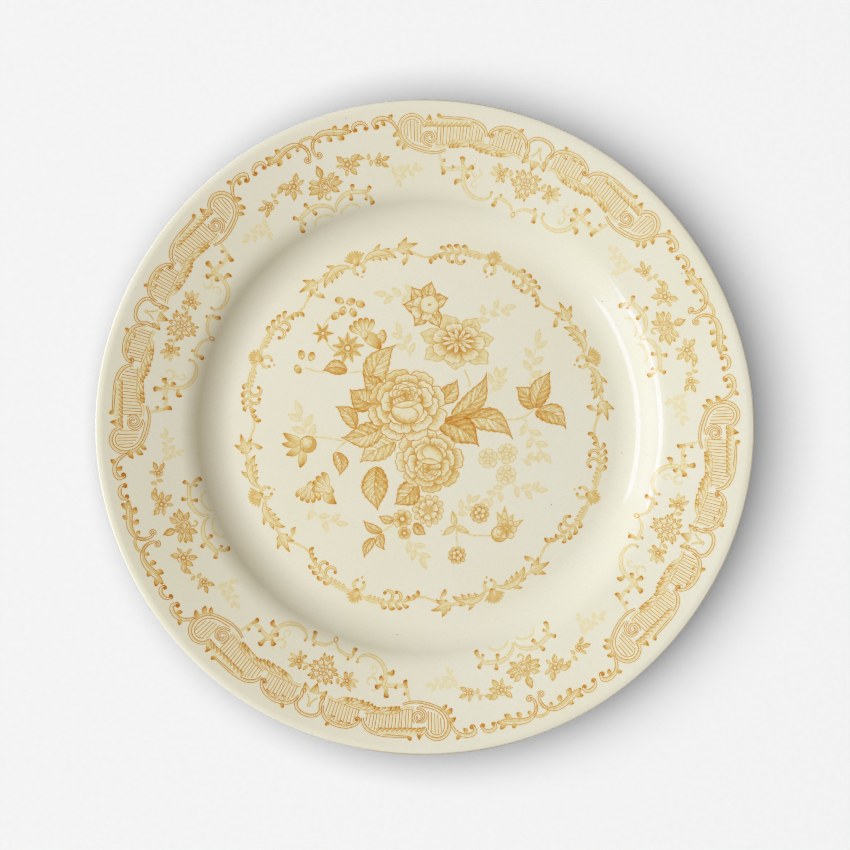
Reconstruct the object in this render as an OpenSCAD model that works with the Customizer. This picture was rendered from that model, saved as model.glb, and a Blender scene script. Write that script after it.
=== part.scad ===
// China dinner plate: a fired clay body on a foot ring, transfer prints laid on its face, and a
// clear glaze over both. The origin is the centre of the foot ring's standing edge, +Z up.

/* [Plate] */
// Diameter across the lip
plate_d = 266; // [250:1:290]
// Thickness of the fired clay in the wall
body_t = 4.6; // [4:0.1:5.4]

/* [Well] */
// Radius of the flat well floor
well_r = 78; // [72:1:82]
// Height of the clay's well floor above the table
floor_z = 7.2; // [6.6:0.1:8.4]
// Thickness of the clay under the well floor
floor_t = 4.2; // [3.6:0.1:4.6]
// Width of the hollow curve at the bottom of the wall
hollow_w = 14.5; // [12:0.5:16]
// Steepest slope of the wall, in degrees
wall_slope = 44; // [36:1:50]
// Width of the rounded shoulder between wall and rim
shoulder_w = 7.5; // [6.5:0.5:9]

/* [Rim] */
// Slope of the rim, in degrees
rim_slope = 16; // [11:1:18]
// Radius of the roll along the top of the lip
roll_r = 1.6; // [1.5:0.1:3]
// Radius of the lip's outermost edge
edge_r = 1.2; // [1.1:0.1:1.6]

/* [Foot ring] */
// Outer radius of the standing edge
foot_r = 79; // [77:0.5:81]
// Width of the standing edge
foot_w = 3; // [2.4:0.1:4]
// How far each side of the foot ring leans out on its way up
foot_draft = 1; // [0.5:0.1:1.5]
// Height of the bare clay above the table, where the glaze was wiped off
bare_h = 0.9; // [0.6:0.1:1.4]

/* [Skin] */
// Thickness of the clear glaze
glaze_t = 0.36; // [0.3:0.02:0.5]
// Thickness allowed for a printed transfer under the glaze
print_t = 0.12; // [0.1:0.01:0.16]

/* [Transfer prints] */
// Radius of the bouquet print in the middle of the well
bouquet_r = 61; // [50:1:63]
// Inner radius of the wreath print round the well
wreath_in_r = 65; // [64:1:67]
// Outer radius of the wreath print
wreath_out_r = 77.5; // [75:0.5:78]
// Inner radius of the border print
border_in_r = 93; // [92:1:96]
// Outer radius of the border print
border_out_r = 128; // [116:1:128]
// Direction of the middle of the first border strip's panels, in degrees from +X
border_angle = 67.4; // [0:0.1:90]
// How far a border strip runs on past the middle of its panels, in degrees
border_lead = 28; // [20:1:40]

/* [Hidden] */
$fn = 128;

border_repeats = 4;
border_sweep = 360 / border_repeats;
clay = [0.87, 0.82, 0.71];
cream_glaze = [0.92, 0.9, 0.82, 0.35];
ochre = [0.79, 0.62, 0.36];

// Points along each round stretch of the section
arc_steps = 10;
// Slope of the lip where its roll meets its edge
roll_end = 45;
// Where one window has to reach past the section
past = 1;

// Section, in [radius, height]. The hollow curve bends up from the floor, the shoulder bends
// back to the rim's slope, and the roll bends over the lip into its edge.
hollow_r = hollow_w / sin(wall_slope);
shoulder_r = shoulder_w / (sin(wall_slope) - sin(rim_slope));
hollow_c = [well_r, floor_z + hollow_r];
shoulder_c = hollow_c + (hollow_r + shoulder_r) * [sin(wall_slope), -cos(wall_slope)];
roll_x = plate_d / 2 - edge_r - (roll_r - edge_r) * cos(roll_end);
rim_run = (roll_x - shoulder_c[0] + (roll_r - shoulder_r) * -sin(rim_slope)) / cos(rim_slope);
roll_c = shoulder_c + rim_run * [cos(rim_slope), sin(rim_slope)]
    + (shoulder_r - roll_r) * [-sin(rim_slope), cos(rim_slope)];
edge_c = roll_c + (roll_r - edge_r) * [cos(roll_end), sin(roll_end)];

// The rim's underside is the straight line that touches the lip's edge and the inside of the
// shoulder, so the rim thins a little towards its lip.
under_shoulder_r = shoulder_r - body_t;
under_span = edge_c - shoulder_c;
under_slope = atan2(under_span[1], under_span[0])
    - asin((under_shoulder_r + edge_r) / norm(under_span));

// The outside of the wall comes down to the foot ring's outer side.
under_hollow_r = hollow_r + body_t;
foot_top_x = foot_r + foot_draft;
recess_z = floor_z - floor_t;
foot_in_r = foot_r - foot_w;

function arc(centre, radius, from, to) = [
    for (i = [0 : arc_steps])
        let (a = from + (to - from) * i / arc_steps)
        centre + radius * [cos(a), sin(a)]
];

// The face grown by skin, from the middle of the well out over the lip
function face(skin) = concat(
    [[0, floor_z + skin]],
    arc(hollow_c, hollow_r - skin, -90, wall_slope - 90),
    arc(shoulder_c, shoulder_r + skin, 90 + wall_slope, 90 + rim_slope),
    arc(roll_c, roll_r + skin, 90 + rim_slope, roll_end)
);

// The back grown by skin, from the lip in to the middle of the foot's recess
function back(skin) = concat(
    arc(edge_c, edge_r + skin, roll_end, under_slope - 90),
    arc(shoulder_c, under_shoulder_r - skin, 90 + under_slope, 90 + wall_slope),
    arc(hollow_c, under_hollow_r + skin, wall_slope - 90,
        asin((foot_top_x + skin - well_r) / (under_hollow_r + skin)) - 90),
    [
        [foot_r + skin, -skin],
        [foot_in_r - skin, -skin],
        [foot_in_r - foot_draft - skin, recess_z - skin],
        [0, recess_z - skin]
    ]
);

function section(skin) = concat(face(skin), back(skin));

// The skin between two distances from the clay
module skin_section(inner, outer) {
    difference() {
        polygon(section(outer));
        polygon(section(inner));
    }
}

// Everything under the face grown by skin
module face_section(skin) {
    polygon(concat([[0, 0]], face(skin), [[edge_c[0], 0]]));
}

// The part of the face between two radii, with printed ink on it
module ink_section(in_r, out_r) {
    intersection() {
        difference() {
            face_section(print_t);
            face_section(0);
        }
        translate([in_r, floor_z - past])
            square([out_r - in_r, plate_d]);
    }
}

module ink_sections() {
    ink_section(0, bouquet_r);
    ink_section(wreath_in_r, wreath_out_r);
    ink_section(border_in_r, border_out_r);
}

// The recess inside the foot ring, up to the clay
module recess_window() {
    translate([0, bare_h])
        square([foot_r - foot_w / 2, recess_z - bare_h + past]);
}

module biscuit_body() {
    color(clay)
        rotate_extrude()
            polygon(section(0));
}

module foot_recess_glaze() {
    color(cream_glaze)
        rotate_extrude()
            intersection() {
                skin_section(0, glaze_t);
                recess_window();
            }
}

module face_glaze() {
    color(cream_glaze)
        rotate_extrude()
            difference() {
                skin_section(0, glaze_t);
                translate([0, -past])
                    square([plate_d, bare_h + past]);
                recess_window();
                ink_sections();
            }
}

module bouquet_print() {
    color(ochre)
        rotate_extrude()
            ink_section(0, bouquet_r);
}

module wreath_print() {
    color(ochre)
        rotate_extrude()
            ink_section(wreath_in_r, wreath_out_r);
}

// One of the strips that the border is printed from, each a quarter of the way round
module border_print(strip) {
    start = border_angle + border_lead + (strip - 2) * border_sweep;
    color(ochre)
        rotate([0, 0, start])
            rotate_extrude(angle = border_sweep)
                ink_section(border_in_r, border_out_r);
}

biscuit_body();
foot_recess_glaze();
face_glaze();
bouquet_print();
wreath_print();
border_print(1);  // border_print_1
border_print(2);  // border_print_2
border_print(3);  // border_print_3
border_print(4);  // border_print_4
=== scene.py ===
import math

import bpy
import numpy as np
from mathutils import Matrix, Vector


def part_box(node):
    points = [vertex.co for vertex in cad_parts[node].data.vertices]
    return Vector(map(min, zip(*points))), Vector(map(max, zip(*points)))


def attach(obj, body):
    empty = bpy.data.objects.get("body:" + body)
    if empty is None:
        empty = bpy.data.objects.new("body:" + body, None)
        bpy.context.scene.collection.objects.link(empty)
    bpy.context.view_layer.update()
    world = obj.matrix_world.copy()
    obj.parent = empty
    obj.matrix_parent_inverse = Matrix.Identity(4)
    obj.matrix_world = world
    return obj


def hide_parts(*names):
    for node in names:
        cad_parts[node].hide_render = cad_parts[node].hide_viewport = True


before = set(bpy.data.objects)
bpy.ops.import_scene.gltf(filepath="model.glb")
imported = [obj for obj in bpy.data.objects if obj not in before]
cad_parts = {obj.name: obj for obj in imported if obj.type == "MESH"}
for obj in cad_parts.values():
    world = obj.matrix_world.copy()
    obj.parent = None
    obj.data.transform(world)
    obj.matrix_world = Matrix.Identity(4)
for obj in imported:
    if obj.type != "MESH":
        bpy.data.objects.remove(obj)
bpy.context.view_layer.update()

scene = bpy.context.scene

MM = 0.001

# The plate's section, in millimetres, as the CAD model has it
WELL_R = 78
FLOOR_Z = 7.2
FLOOR_T = 4.2
BODY_T = 4.6
HOLLOW_W = 14.5
WALL_SLOPE = 44
SHOULDER_W = 7.5
RIM_SLOPE = 16
ROLL_R = 1.6
EDGE_R = 1.2
ROLL_END = 45
FOOT_R = 79
FOOT_DRAFT = 1
BARE_H = 0.9
GLAZE_T = 0.36
BORDER_ANGLE = 67.4
PLATE_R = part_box("biscuit_body")[1].x / MM

# The lip as the photograph shows it: a crown that ends almost level, then a crisp outer corner. The corner
# stands up to half a millimetre outside the CAD model's rounder lip.
CROWN_R = 6.5
CROWN_END = 84
CORNER_R = 0.2

# How uneven the pressed clay is: its lip as a share of the radius and its face in millimetres. OVAL weighs
# the lip's slight oval against its lobes.
LIP_WAVER = 0.0022
FACE_WAVER = 0.035
OVAL = 1.1

# Steps round the plate
TURNS = 384


def polar(radius, degrees):
    """A point, or points, as complex numbers."""
    return radius * np.exp(1j * np.radians(degrees))


HOLLOW_R = HOLLOW_W / math.sin(math.radians(WALL_SLOPE))
SHOULDER_R = SHOULDER_W / (math.sin(math.radians(WALL_SLOPE)) - math.sin(math.radians(RIM_SLOPE)))
HOLLOW_C = WELL_R + 1j * (FLOOR_Z + HOLLOW_R)
SHOULDER_C = HOLLOW_C + polar(HOLLOW_R + SHOULDER_R, WALL_SLOPE - 90)
UNDER_SHOULDER_R = SHOULDER_R - BODY_T
UNDER_HOLLOW_R = HOLLOW_R + BODY_T
RIM_NORMAL = polar(1, RIM_SLOPE + 90)


def lip_centres(roll_r, edge_r, roll_end):
    """Centres of the roll that the rim's face ends in and of the smaller edge that follows it."""
    start = SHOULDER_C + (SHOULDER_R - roll_r) * RIM_NORMAL
    roll_x = PLATE_R - edge_r - (roll_r - edge_r) * math.cos(math.radians(roll_end))
    roll = start + polar((roll_x - start.real) / math.cos(math.radians(RIM_SLOPE)), RIM_SLOPE)
    return roll, roll + polar(roll_r - edge_r, roll_end)


EDGE_C = lip_centres(ROLL_R, EDGE_R, ROLL_END)[1]
CROWN_C, CORNER_C = lip_centres(CROWN_R, CORNER_R, CROWN_END)
UNDER_SPAN = EDGE_C - SHOULDER_C
UNDER_SLOPE = np.degrees(np.angle(UNDER_SPAN)) - np.degrees(
    math.asin((UNDER_SHOULDER_R + EDGE_R) / abs(UNDER_SPAN)))


def line(start, end, steps):
    """Points from start up to, but not at, end."""
    return start + (end - start) * np.arange(steps) / steps


def arc(centre, radius, start, end, steps):
    return centre + polar(radius, np.linspace(start, end, steps + 1))


def face_path(skin):
    """The face grown by skin, as radius + height * i, from near the middle out over the lip."""
    hollow = arc(HOLLOW_C, HOLLOW_R - skin, -90, WALL_SLOPE - 90, 22)
    shoulder = arc(SHOULDER_C, SHOULDER_R + skin, 90 + WALL_SLOPE, 90 + RIM_SLOPE, 14)
    crown = arc(CROWN_C, CROWN_R + skin, 90 + RIM_SLOPE, CROWN_END, 10)
    floor = line(0.01 + 1j * (FLOOR_Z + skin), hollow[0], 38)
    rim = line(shoulder[-1], crown[0], 16)
    return np.concatenate([floor, hollow, shoulder[1:-1], rim, crown])


def back_path(skin):
    """The back grown by skin, from the lip in to the outside of the foot ring."""
    foot_x = FOOT_R + FOOT_DRAFT + skin
    end = np.degrees(math.asin((foot_x - WELL_R) / (UNDER_HOLLOW_R + skin))) - 90
    corner = arc(CORNER_C, CORNER_R + skin, CROWN_END, 0, 6)
    edge = arc(EDGE_C, EDGE_R + skin, 0, UNDER_SLOPE - 90, 8)
    shoulder = arc(SHOULDER_C, UNDER_SHOULDER_R - skin, 90 + UNDER_SLOPE, 90 + WALL_SLOPE, 10)
    hollow = arc(HOLLOW_C, UNDER_HOLLOW_R + skin, WALL_SLOPE - 90, end, 14)
    rim = line(edge[-1], shoulder[0], 12)
    return np.concatenate([corner[1:], edge[:-1], rim, shoulder, hollow[1:]])


def handmade(plan, height):
    """The height of pressed clay, which strays from the true height in a few slow waves."""
    x, y = plan.real, plan.imag
    broad = np.sin(x / 17 + 0.6) * np.cos(y / 21 - 0.3)
    small = 0.6 * np.sin((x + y) / 11 + 1.1) * np.cos((x - y) / 13)
    return height + FACE_WAVER * (broad + small)


def add_object(name, data):
    made = bpy.data.objects.new(name, data)
    scene.collection.objects.link(made)
    return made


def add_piece(name, points, faces):
    """A smooth-shaded mesh, its points given in millimetres."""
    mesh = bpy.data.meshes.new(name)
    mesh.from_pydata((points * MM).tolist(), [], faces)
    mesh.polygons.foreach_set("use_smooth", [True] * len(faces))
    return add_object(name, mesh)


def lathe(name, path):
    """Turns a path of radius + height * i round the plate's axis."""
    angles = np.arange(TURNS) * 360 / TURNS
    plan = np.real(path)[:, None] * polar(1, angles)[None, :]
    plan = plan * (1 + lip_waver(np.real(path))[:, None] * lobes(angles)[None, :])
    z = handmade(plan, np.imag(path)[:, None])
    faces = []
    for a in range(0, (len(path) - 1) * TURNS, TURNS):
        b = a + TURNS
        for j in range(TURNS):
            k = (j + 1) % TURNS
            faces.append((a + j, b + j, b + k, a + k))
    return add_piece(name, np.stack([plan.real, plan.imag, z], -1).reshape(-1, 3), faces)


def lobes(angles):
    """The lip's slight unevenness round the plate: six and three gentle lobes on a faint oval."""
    return (0.6 * np.cos(np.radians(6 * (angles + 4))) + 0.4 * np.cos(np.radians(3 * angles + 40))
            - OVAL * (1 - np.cos(np.radians(2 * angles))))


def lip_waver(radius):
    """The share of its radius by which the lip wavers; nothing in the well."""
    return LIP_WAVER * np.clip((radius - WELL_R - HOLLOW_W) / (PLATE_R - WELL_R - HOLLOW_W), 0, 1) ** 2


# ---------------- drawing on a transfer
# Ink runs from 0 to FULL_INK, in INK_STEPS materials. A line's bleed is fainter at its two sides.
INK_STEPS = 17
FULL_INK = 1.25
BLEED_INK = (0.04, 0.12, 0.04)
# In millimetres: the lowest mark's height over the glaze, the step between marks, how far ink spreads on
# each side of a line, and where the faint bleed beside the line starts and ends
FIRST_LEVEL = 0.03
LEVEL = 0.005
SPREAD = 0.025
BLEED = (0.16, 0.45)
dice = np.random.default_rng(1847)


class Sheet:
    """A transfer being drawn: grids of quads in the plate's plan, in millimetres, with ink densities."""

    def __init__(self):
        self.plan, self.level, self.quads, self.ink = [], [], [], []
        self.count = 0

    def add(self, plan, level, ink):
        rows, columns = plan.shape
        corner = self.count + np.arange(rows * columns).reshape(rows, columns)
        quads = np.stack([corner[:-1, :-1], corner[1:, :-1], corner[1:, 1:], corner[:-1, 1:]], -1)
        across, down = plan[1:, 1:] - plan[:-1, :-1], plan[1:, :-1] - plan[:-1, 1:]
        turned = (np.conj(across) * down).imag > 0
        quads[turned] = quads[turned][:, ::-1]
        ink = np.asarray(ink, float)
        if ink.ndim == 1:
            ink = ink[:, None]
        self.quads.append(quads.reshape(-1, 4))
        self.ink.append(np.broadcast_to(ink, (rows - 1, columns - 1)).ravel())
        self.plan.append(plan.ravel())
        self.level.append(np.full(plan.size, level))
        self.count += plan.size


class Pen:
    """Draws on a sheet in coordinates of its own, x + y * i in millimetres."""

    def __init__(self, sheet, place, strength=1, lift=0):
        self.sheet, self.place, self.strength, self.lift = sheet, place, strength, lift

    def moved(self, origin=0, turn=1, flip=False, squash=1, strength=1, lift=0):
        """A pen whose marks are squashed in height, flipped, turned and then shifted to origin."""
        def place(z):
            z = z.real + 1j * z.imag * squash
            return self.place(origin + turn * (-np.conj(z) if flip else z))
        return Pen(self.sheet, place, self.strength * strength, self.lift + lift)

    def draw(self, grid, ink, lift=0):
        level = FIRST_LEVEL + LEVEL * (self.lift + lift)
        self.sheet.add(self.place(grid), level, np.clip(np.asarray(ink) * self.strength, 0, FULL_INK))

    def bleed(self, grid):
        """The faint tint that ink leaves in the glaze round a mark, under every mark."""
        tint = np.broadcast_to(np.array(BLEED_INK) * self.strength, (len(grid) - 1, 3))
        self.sheet.add(self.place(grid), LEVEL * dice.uniform(1, 5), tint)


def ring_pen(sheet, radius, angle, strength, shift=0):
    """A pen whose x runs clockwise round a circle from angle and whose y runs outwards."""
    def place(z):
        return polar(radius + shift + z.imag, angle - np.degrees(z.real / radius))
    return Pen(sheet, place, strength)


def curve(*points, steps=6):
    """A smooth curve through the points."""
    p = np.array([2 * points[0] - points[1], *points, 2 * points[-1] - points[-2]], complex)
    t = np.arange(steps) / steps
    a, b, c, d = (p[i:len(p) - 3 + i, None] for i in range(4))
    bow, twist = 2 * a - 5 * b + 4 * c - d, 3 * b - a - 3 * c + d
    return np.append((b + (c - a) * t / 2 + bow * t ** 2 / 2 + twist * t ** 3 / 2).ravel(), p[-2])


def volute(centre, radius, start, sweep, steps=14):
    """A spiral that winds in towards its centre."""
    t = np.linspace(0, 1, steps + 1)
    return centre + polar(radius * (1 - 0.8 * t), start + sweep * t)


def swell(path, widths):
    """A width for each point of a path, from one width or several that are spread evenly along it."""
    widths = np.atleast_1d(widths)
    return np.interp(np.linspace(0, 1, len(path)), np.linspace(0, 1, len(widths)), widths)


def middles(values):
    """The values halfway between neighbours."""
    return (values[1:] + values[:-1]) / 2


def beside(path, gap):
    """The path moved to its left by gap."""
    ahead = np.gradient(path)
    return path + 1j * ahead / np.maximum(abs(ahead), 1e-9) * gap


def stroke(pen, path, widths, ink, lift=1):
    """A line, a little wider than it was engraved, as the ink spreads."""
    half = swell(path, widths) / 2 + SPREAD
    pen.draw(np.stack([beside(path, half), beside(path, -half)], 1), ink, lift)
    near, far = half + BLEED[0], half + BLEED[1]
    pen.bleed(np.stack([beside(path, gap) for gap in (far, near, -near, -far)], 1))


def dot(pen, centre, radius, ink, lift=1, sides=10):
    rim = polar(radius, np.linspace(0, 360, sides + 1))
    pen.draw(centre + np.stack([rim * 0.02, rim]), ink, lift)


def band(pen, path, widths, wash=0.1, line=0.9, line_width=0.19, lift=0, ticks=0.7):
    """A scroll's stem: two engraved lines with a pale wash between them, and ticks along one line."""
    width = swell(path, widths)
    grid = np.stack([beside(path, side * width) for side in (0.5, 0.15, -0.2, -0.5)], 1)
    pen.draw(grid, np.broadcast_to(wash + np.array([0.02, 0.06, 0.26]) * line, (len(path) - 1, 3)), lift)
    for side in (-0.5, 0.5):
        stroke(pen, beside(path, side * width), line_width, line, lift + 1)
    run = np.append(0, np.cumsum(abs(np.diff(path))))
    for at in np.arange(ticks, run[-1] - ticks / 2, ticks):
        low = np.interp(at, run, beside(path, -0.5 * width))
        high = np.interp(at + 0.25, run, path)
        stroke(pen, np.array([low, high]), 0.13, 0.6 * line, lift + 1)


def midrib(base, tip, t, bend, skew=1):
    """A bowed line from base to tip, at the shares t of its length, and the direction across it."""
    along = tip - base
    return base + along * t + 1j * along * bend * 4 * t ** skew * (1 - t), 1j * along / abs(along)


# A lobe's width at the shares SHAPE_AT of its length, for a frond, a spike and a hook
SHAPE_AT = (0, 0.2, 0.5, 0.75, 0.92, 1)
FROND = (0.4, 0.8, 1, 0.72, 0.3, 0.03)
SPIKE = (1, 0.95, 0.62, 0.34, 0.12, 0.03)
HOOK = (0.3, 0.45, 0.72, 1, 0.85, 0.3)


def lobe(pen, base, tip, width, bend=0, dark=0.95, pale=0.12, lift=0, shape=FROND):
    """A leaf of acanthus: pale where it grows and dark towards its tip."""
    t = np.linspace(0, 1, 10)
    spine, side = midrib(base, tip, t, bend, 1.5)
    half = np.interp(t, SHAPE_AT, shape) * width / 2
    across = np.linspace(-1, 1, 5)
    s, m = middles(across), middles(t)[:, None]
    ink = pale + (1.3 * dark - pale) * m ** 3 + 0.14 * s
    pen.draw(spine[:, None] + side * half[:, None] * across, ink, lift)
    for edge in (-1, 1):
        stroke(pen, spine + side * half * edge, 0.17, 0.45 + 0.5 * dark * m.ravel(), lift + 1)
    if width > 1.2:
        stroke(pen, spine[:7], (0.18, 0.06), 0.55 * dark, lift + 1)


def leaf(pen, base, tip, width, bend=0, teeth=7, ink=0.5, dark_side=1, lift=0):
    """A toothed leaf: a midrib and veins, dark hatching at its edge and one half of it in shade."""
    rows = 4 * teeth + 1
    t = np.linspace(0, 1, rows)
    along = tip - base
    spine, side = midrib(base, tip, t, bend)
    half = 0.44 * width * np.sin(np.pi * t ** 0.72) ** (0.75 + 0.9 * t)
    saw = 1 + 0.035 * (np.arange(rows) % 4)
    across = np.linspace(-1, 1, 13)
    lean = abs(across) * np.sin(np.pi * t)[:, None] * 0.05 * along
    grid = spine[:, None] + side * (half * saw)[:, None] * across + lean
    s, m = middles(across), middles(t)[:, None]
    shade = 0.42 * (s * dark_side > 0) * (1 - 0.7 * abs(s)) * (1 - 0.5 * m)
    ribs = 0.16 * np.cos(2 * np.pi * (m * teeth * 0.75 - abs(s) * 1.5))
    edge = 0.6 * abs(s) ** 5 + 0.3 * (1 - m) ** 4 + 0.3 * m ** 6
    grain = 0.08 * dice.standard_normal((rows - 1, 12))
    pen.draw(grid, 0.58 * ink - 0.1 + shade * (0.4 + ink) + ribs + edge * (0.5 + ink) + grain, lift)
    line = min(0.9, 0.66 + 0.4 * ink)
    stroke(pen, spine, (0.36, 0.22, 0.1), line - 0.06, lift + 1)
    for outline, inside in ((grid[:, 0], grid[:, 1]), (grid[:, -1], grid[:, -2])):
        stroke(pen, outline, 0.24, line, lift + 1)
        for at in np.linspace(0.1, 0.76, teeth):
            start, end = spine[int(at * rows)], inside[min(rows - 1, int((at + 0.16) * rows))]
            vein = curve(start, (start + end) / 2 - along * 0.015, end, steps=3)
            stroke(pen, vein, (0.17, 0.1), line - 0.14, lift + 1)


def leaflet(pen, base, tip, width, ink=0.4, bend=0, lift=0):
    """A small plain leaf with a midrib."""
    t = np.linspace(0, 1, 9)
    spine, side = midrib(base, tip, t, bend)
    half = width / 2 * np.sin(np.pi * t ** 0.8) ** (0.8 + 0.5 * t)
    ends = 0.4 * (1 - t[1:, None]) ** 2 + 1.1 * t[1:, None] ** 5
    shade = np.array([0.3, 0.06, -0.12, 0.1]) * (0.3 + ink) + ends * ink
    pen.draw(spine[:, None] + side * half[:, None] * np.linspace(-1, 1, 5), 0.5 * ink + shade, lift)
    stroke(pen, spine, 0.16, 0.12 + 1.1 * ink, lift + 1)
    for edge in (-1, 1):
        stroke(pen, spine + side * half * edge, 0.17, 0.14 + 1.2 * ink, lift + 1)


def several(mark, pen, rows, *look):
    """Marks of one kind that share the rest of their look. Each row has what sets one apart."""
    for row in rows:
        mark(pen, *row, *look)


def scallop(across, count, depth):
    """The edge of a petal: count round lobes, each depth of its length deep."""
    return depth * (abs(np.sin(np.pi * count * (across + 1) / 2)) ** 0.7 - 1)


def petal(pen, centre, inner, outer, aim, half, ink=0.04, root=0.7, frills=3, depth=0.08, square=0.2,
          point=0, line=0.78, hatch=6, lift=0):
    """One petal: hatched dark at its root, pale at its edge, and outlined."""
    across, out = np.linspace(-1, 1, 4 * frills + 5), np.linspace(0, 1, 7)[:, None]
    s, m = middles(across), middles(out)
    edge = 1 - point * abs(across) - square * abs(across) ** 4 + scallop(across, frills, depth)
    wide = half * (0.72 + 0.28 * np.sin(np.pi / 2 * out))
    grid = centre + polar(inner + (outer * edge - inner) * out, aim + wide * across)
    grain = 0.05 * dice.standard_normal((6, len(s)))
    pen.draw(grid, ink - 0.04 + root * (1 - m) ** 1.4 + 0.2 * abs(s) ** 4 + grain, lift)
    rim = np.concatenate([grid[3:, 0], grid[-1, 1:-1], grid[:2:-1, -1]])
    stroke(pen, rim, 0.17, line, lift + 1)
    for i in range(hatch):
        at = -0.84 + 1.68 * (i + dice.uniform(0.3, 0.7)) / hatch
        t = np.linspace(0.02, dice.uniform(0.3, 0.75), 5)
        reach = inner + (outer * np.interp(at, across, edge) - inner) * t
        rib = centre + polar(reach, aim + half * at * (0.72 + 0.28 * np.sin(np.pi / 2 * t)))
        stroke(pen, rib, (0.17, 0.05), line - 0.04, lift + 1)


def petals(pen, centre, inner, outer, count, start=0, fill=0.97, **look):
    """A ring of petals."""
    for k in range(count):
        aim = start + 360 * k / count + dice.uniform(-2, 2)
        petal(pen, centre, inner, outer * dice.uniform(0.94, 1.04), aim, 180 / count * fill, **look)


def shaded(aim):
    """The shade on a rose's petal, from 1 at the rose's upper left to 0 on its other side."""
    return max(0, math.cos(math.radians(aim - 125)))


def rose(pen, centre, radius, turn=0, squash=1, ink=0):
    """A full-blown rose: rings of frilled petals round a pale cup, with tight folds behind the cup."""
    pen = pen.moved(centre, polar(radius / 10, turn), squash=squash)
    dot(pen, 0, 8.2, 0.5, 0, 24)
    for aim in range(12, 372, 45):
        shade = ink + 0.02 + 0.3 * shaded(aim)
        outer = 10 * dice.uniform(0.95, 1.05)
        petal(pen, -0.3j, 6.8, outer, aim, 22, shade, 0.6, depth=0.05, square=0.16, hatch=11, lift=1)
    dot(pen, 0.2j, 6.9, 0.62, 3, 24)
    for aim, outer, half in ((250, 8.2, 27), (300, 8.4, 27), (347, 8, 24), (200, 8, 26), (33, 7.7, 26),
                             (85, 8, 28), (142, 8, 31)):
        petal(pen, 0.3j, 4.9, outer, aim, half, ink + 0.2 * shaded(aim), 0.66, depth=0.06, hatch=11, lift=4)
    dot(pen, 0.8j, 5.2, 0.68, 6, 22)
    for aim, outer, half in ((168, 6.5, 33), (12, 6.6, 33), (90, 5.9, 45), (232, 6.2, 28), (306, 6.3, 28)):
        petal(pen, 0.4j, 3.4, outer, aim, half, ink, depth=0.07, hatch=8, lift=7)
    dot(pen, 1.2j, 4.2, 0.76, 9, 20)
    heart = pen.moved(2.6j, squash=0.84)
    for outer, count, start in ((4.2, 7, 10), (3.3, 6, 40), (2.4, 5, 10), (1.5, 4, 45)):
        petals(heart, 0, outer * 0.55, outer, count, start, ink=ink + 0.02, root=0.65, frills=1, depth=0.14,
               line=0.74, hatch=3, lift=10)
        heart = heart.moved(lift=2)
    swing = np.linspace(-180, 180, 37)
    t = np.linspace(0, 1, 8)[:, None]
    cup = polar(3.8 * t, swing)
    cup = cup.real * 1.06 + 1j * (cup.imag * np.where(cup.imag > 0, 0.62, 1) - 1.3)
    low = np.clip(-np.sin(np.radians(middles(swing)) + 0.5), 0, 1)
    pen.draw(cup, ink + 0.55 * t[1:] ** 4 * low ** 1.5 + 0.14 * t[1:] ** 6, 18)
    stroke(pen, cup[-1], 0.24, 0.78, 19)
    for angle in np.linspace(205, 345, 19):
        rib = -1.3j + polar(np.linspace(3.7, dice.uniform(1.8, 3), 4), angle)
        stroke(pen, rib, (0.15, 0.05), 0.55, 19)
    fold = curve(-3.5+0.1j, -1.6-0.7j, 0.4-0.8j, 2.2-0.2j, 3.3+0.7j)
    wrap = curve(1-0.8j, 2.2-1.9j, 2.5-3.2j, 1.6-4.7j)
    for path in (fold, wrap):
        for gap, shade in ((0.25, 0.34), (0.65, 0.2), (1, 0.1)):
            stroke(pen, beside(path, gap), (0.1, 0.42, 0.1), ink + shade, 19)
        stroke(pen, path, (0.1, 0.24, 0.12), 0.7, 20)


def blossom(pen, centre, radius, count=5, turn=90, ink=0.1):
    """A small open flower with a ring of stamens."""
    dot(pen, centre, radius * 0.5, 0.8, 0, 12)
    petals(pen, centre, radius * 0.28, radius, count, turn, ink=ink, root=0.55, frills=2, depth=0.12,
           line=0.75, hatch=3, lift=1)
    dot(pen, centre, radius * 0.24, 0.12, 3)
    for k in range(6):
        dot(pen, centre + polar(radius * 0.3, 60 * k + turn), radius * 0.08, 0.95, 4, 6)


def sprig(pen, stem, size, count, ink):
    """A stem with small leaves in turn on its two sides and one at its end."""
    stroke(pen, stem, (0.26, 0.12), 0.8 * ink, 0)
    for k in range(count):
        i = int((k + 1) / (count + 0.6) * (len(stem) - 1))
        ahead = stem[min(i + 1, len(stem) - 1)] - stem[i - 1]
        aim = ahead / abs(ahead) * polar(1, 48 if k % 2 else -48)
        leaflet(pen, stem[i] + aim * size * 0.12, stem[i] + aim * size, size * 0.38, ink, lift=1)
    ahead = stem[-1] - stem[-3]
    leaflet(pen, stem[-1], stem[-1] + ahead / abs(ahead) * size, size * 0.38, ink, lift=1)


# ---------------- the border's strips
RIM_REFERENCE_R = 120
QUARTER = 90
RUNG_INK = 0.82


def rungs(pen, floor_line, top_line):
    """Fluting between two curves: a thin line with a pale shade beside it, over and over."""
    for low, high in zip(floor_line, top_line):
        rung = np.linspace(low, high, 5) + dice.uniform(-0.14, 0.14)
        stroke(pen, rung - 0.26, 0.36, 0.12, 0)
        stroke(pen, rung, 0.2, RUNG_INK * dice.uniform(0.85, 1.2))


def at_x(path, xs):
    """The points of a path at the given x places."""
    order = np.argsort(path.real)
    return xs + 1j * np.interp(xs, path.real[order], path.imag[order])


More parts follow.
